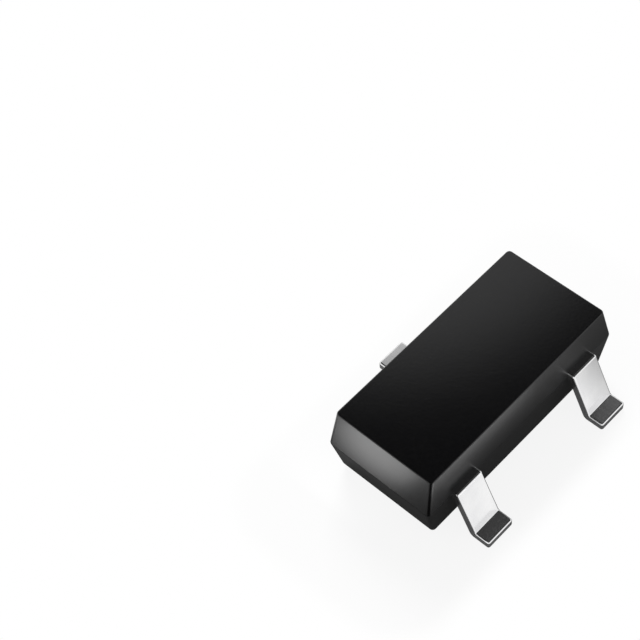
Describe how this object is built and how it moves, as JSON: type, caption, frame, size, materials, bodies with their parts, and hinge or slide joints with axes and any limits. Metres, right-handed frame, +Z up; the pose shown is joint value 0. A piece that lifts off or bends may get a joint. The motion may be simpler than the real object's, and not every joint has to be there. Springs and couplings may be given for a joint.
{
  "type": "voltage supervisor ic",
  "caption": "Surface-mount voltage supervisor: a black moulded body with drafted sides and bent tin-plated leads, holding a chip on a stamped frame and its bond wires. It resets a circuit.",
  "frame": {"origin": "on the board's surface, midway between the lead tips and midway along the body", "axes": "+X along the body, +Y towards the side with one lead, +Z up from the board"},
  "size_m": [0.003, 0.0024, 0.001],
  "materials": {
    "mould_compound": "satin",
    "tin_plating": "satin",
    "silicon": "gloss",
    "silver_adhesive": "satin",
    "gold_wire": "satin"
  },
  "bodies": {
    "root": {"moulded_body": "mould_compound", "lead_1": "tin_plating", "lead_2": "tin_plating", "lead_3_with_flag": "tin_plating", "silicon_chip": "silicon", "chip_adhesive": "silver_adhesive", "bond_wire_1": "gold_wire", "bond_wire_2": "gold_wire", "bond_wire_3": "gold_wire"}
  },
  "joints": []
}
